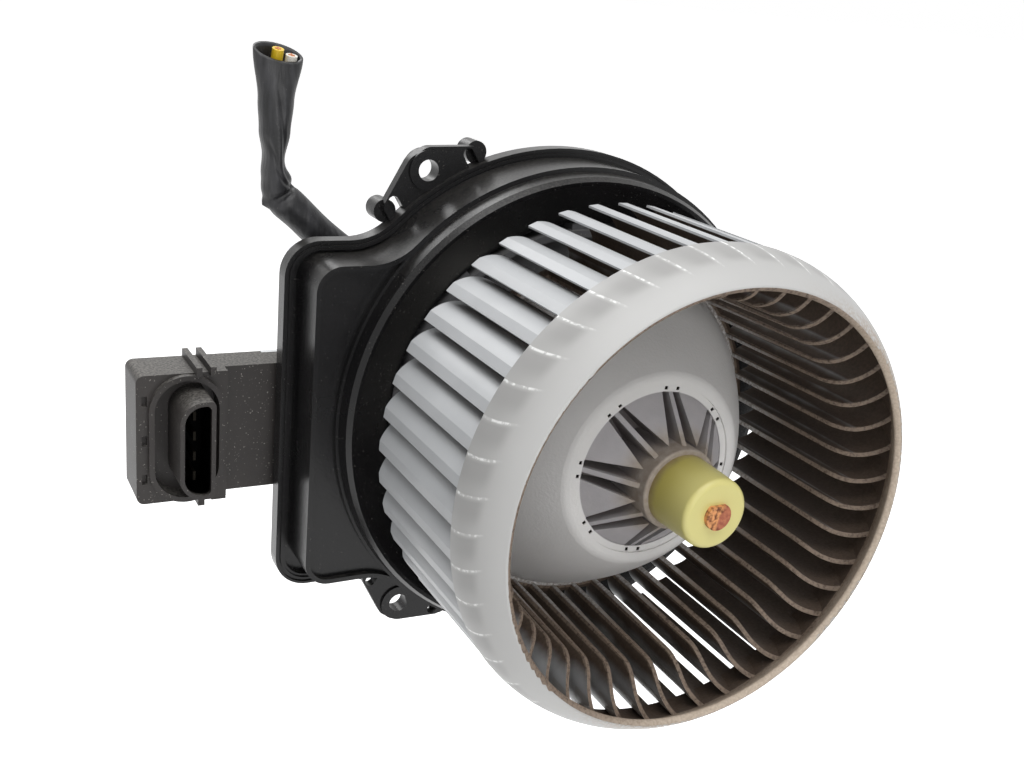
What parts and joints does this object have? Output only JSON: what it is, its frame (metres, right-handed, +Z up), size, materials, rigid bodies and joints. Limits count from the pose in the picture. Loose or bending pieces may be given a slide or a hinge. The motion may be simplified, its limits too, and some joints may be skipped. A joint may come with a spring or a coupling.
{
  "type": "car cabin blower motor",
  "caption": "Squirrel-cage fan wheel on a small motor in a moulded mounting flange, with a speed regulator socket at the side and two sleeved leads.",
  "frame": {"origin": "on the motor shaft's axis, in the front plane of the flange's rim", "axes": "-Y along the shaft, out of the fan inlet; +Z up; the regulator module is on the -X side"},
  "size_m": [0.2288, 0.1399, 0.1905],
  "materials": {
    "wheel_plastic": "satin",
    "yellow_nylon": "satin",
    "black_plastic": "satin",
    "grey_plastic": "satin",
    "module_plastic": "matte",
    "steel": "brushed",
    "zinc_steel": "plated",
    "ferrite": "matte",
    "copper": "satin",
    "brass": "satin",
    "sintered_bronze": "matte",
    "carbon": "matte",
    "insulation": "matte",
    "phenolic": "satin",
    "aluminium": "satin",
    "board": "satin",
    "rubber": "matte",
    "sleeve_pvc": "satin",
    "yellow_pvc": "satin",
    "white_pvc": "satin"
  },
  "bodies": {
    "housing": {"motor_can": "zinc_steel", "end_plate": "zinc_steel", "magnet_right": "ferrite", "magnet_left": "ferrite", "magnet_clips": "steel", "front_bush": "sintered_bronze", "rear_bush": "sintered_bronze", "front_bush_retainer": "steel", "rear_bush_retainer": "steel", "brush_card": "phenolic", "brush_holder_upper": "brass", "brush_holder_lower": "brass", "brush_spring_upper": "steel", "brush_spring_lower": "steel", "motor_terminal_yellow": "brass", "motor_terminal_white": "brass", "motor_carrier": "grey_plastic", "motor_ring_front": "rubber", "motor_ring_rear": "rubber", "seat_ring_front": "rubber", "seat_ring_rear": "rubber", "rear_cover": "black_plastic", "cover_screws": "zinc_steel", "mounting_flange": "black_plastic", "connector_housing": "module_plastic", "connector_pins": "brass", "control_board": "board", "module_cover": "module_plastic", "power_transistor": "carbon", "heat_sink": "aluminium", "module_screws": "zinc_steel", "wire_gland": "rubber", "wire_sleeve": "sleeve_pvc", "yellow_lead": "yellow_pvc", "white_lead": "white_pvc"},
    "rotor": {"fan_wheel": "wheel_plastic", "hub_insert": "yellow_nylon", "motor_shaft": "steel", "armature_stack": "steel", "armature_insulator_front": "insulation", "armature_insulator_rear": "insulation", "armature_windings": "copper", "commutator_core": "phenolic", "commutator_bars": "copper", "shaft_spacer_front": "insulation", "shaft_spacer_rear": "insulation", "thrust_washer_front": "steel", "thrust_washer_rear": "steel"},
    "brush_upper": {"brush_upper": "carbon"},
    "brush_lower": {"brush_lower": "carbon"}
  },
  "joints": [
    {"name": "fan_spin", "type": "hinge", "parent": "housing", "child": "rotor", "pos_m": [0, 0, 0], "axis": [0, -1, 0], "continuous": true},
    {"name": "brush_upper_slide", "type": "slide", "parent": "housing", "child": "brush_upper", "axis": [0, 0, 1], "range_m": [0, 0.002], "stiffness_N_per_m": 200, "springref_m": -0.005, "deforming": ["brush_spring_upper"]},
    {"name": "brush_lower_slide", "type": "slide", "parent": "housing", "child": "brush_lower", "axis": [0, 0, -1], "range_m": [0, 0.002], "stiffness_N_per_m": 200, "springref_m": -0.005, "deforming": ["brush_spring_lower"]}
  ]
}
